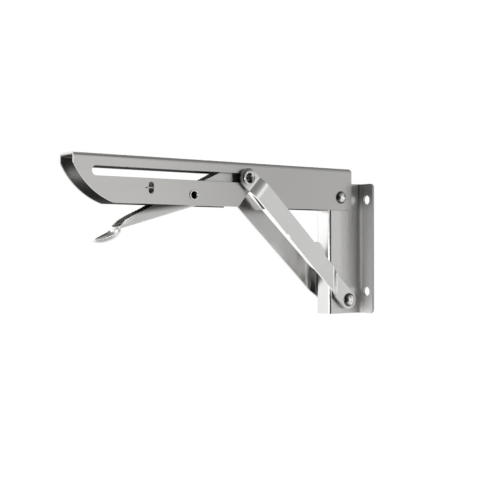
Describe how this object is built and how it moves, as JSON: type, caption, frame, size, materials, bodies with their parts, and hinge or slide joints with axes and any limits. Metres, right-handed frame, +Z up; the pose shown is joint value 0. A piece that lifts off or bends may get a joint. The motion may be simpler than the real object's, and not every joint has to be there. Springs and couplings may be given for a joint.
{
  "type": "folding shelf bracket",
  "caption": "Folding shelf bracket of pressed stainless steel: a slotted arm on a hinge, held up by a braced sliding pin and let down by a finger lever.",
  "frame": {"origin": "middle of the four wall screw holes, on the plane of the wall", "axes": "+X out from the wall along the open arm, +Z up, +Y to the left for a person who stands at the wall and looks out along the arm; the picture is taken from the +Y side"},
  "size_m": [0.2632, 0.0472, 0.1181],
  "materials": {
    "stainless_sheet": "satin stainless steel sheet",
    "polished_rivet": "polished steel",
    "spring_wire": "drawn spring wire",
    "black_nylon": "moulded black nylon"
  },
  "bodies": {
    "wall": {"wall_bracket": "stainless_sheet", "hinge_rivet": "polished_rivet", "foot_rivet": "polished_rivet", "foot_spacer_right": "polished_rivet", "foot_spacer_left": "polished_rivet"},
    "arm": {"support_arm": "stainless_sheet", "lever_eyelet": "polished_rivet", "lever_washer_right": "polished_rivet", "lever_washer_left": "polished_rivet", "lever_spring": "spring_wire"},
    "brace": {"brace_strip_right": "stainless_sheet", "brace_strip_left": "stainless_sheet", "brace_rivet_right": "polished_rivet", "brace_rivet_left": "polished_rivet"},
    "pins": {"slide_shoe_right": "black_nylon", "slide_shoe_left": "black_nylon", "slide_stud_right": "polished_rivet", "slide_stud_left": "polished_rivet", "slide_collar_right": "polished_rivet", "slide_collar_left": "polished_rivet"},
    "lever": {"release_lever": "stainless_sheet"}
  },
  "joints": [
    {"name": "arm_fold", "type": "hinge", "parent": "wall", "child": "arm", "pos_m": [0.0247, 0, 0.0391], "axis": [0, 1, 0], "range_deg": [0, 90]},
    {"name": "brace_swing", "type": "hinge", "parent": "wall", "child": "brace", "pos_m": [0.018, 0, -0.0441], "axis": [0, 1, 0], "range_deg": [0, 125.5]},
    {"name": "pin_slide", "type": "slide", "parent": "arm", "child": "pins", "axis": [1, 0, 0], "range_m": [0, 0.126]},
    {"name": "lever_release", "type": "hinge", "parent": "arm", "child": "lever", "pos_m": [0.1668, 0, 0.03635], "axis": [0, 1, 0], "range_deg": [-17, 0], "stiffness_Nm_per_rad": 0.6, "springref_deg": 11.46, "deforming": ["lever_spring"]}
  ],
  "couplings": [
    {"joint": "brace_swing", "follows": "arm_fold", "ratio": 1.3937},
    {"joint": "pin_slide", "follows": "arm_fold", "m_per_rad": 0.080195}
  ]
}
